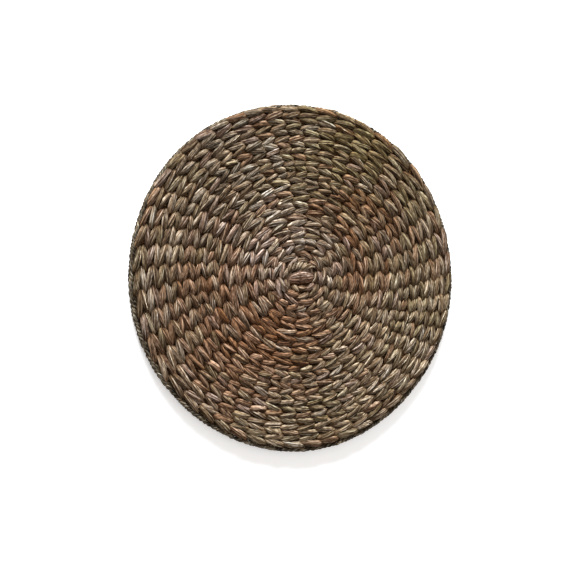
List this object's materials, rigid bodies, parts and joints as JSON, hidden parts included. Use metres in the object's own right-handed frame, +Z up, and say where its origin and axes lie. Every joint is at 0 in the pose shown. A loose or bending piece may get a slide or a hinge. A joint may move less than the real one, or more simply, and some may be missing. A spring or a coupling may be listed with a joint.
{
  "type": "woven cattail charger",
  "caption": "Round flat charger twined from twisted cattail leaf in rounds of plump stitches, with a knotted heart and a twisted border; lies under a dinner plate.",
  "frame": {"origin": "the middle of the underside, on the table", "axes": "+Z up, out of the woven face; +X along the leaves that lie across the heart; the picture looks down from the -X side with +Y to the top of the picture"},
  "size_m": [0.3604, 0.3546, 0.012],
  "materials": {
    "leaf": "dried cattail leaf, twisted, taupe to olive with rusty patches, satin",
    "heart_leaf": "dried cattail leaf laid flat, pinkish beige, satin",
    "border_leaf": "finely twisted grey-green leaf, matt"
  },
  "bodies": {
    "root": {"woven_disc": "leaf", "heart_leaves": "heart_leaf", "rim_border": "border_leaf"}
  },
  "joints": []
}
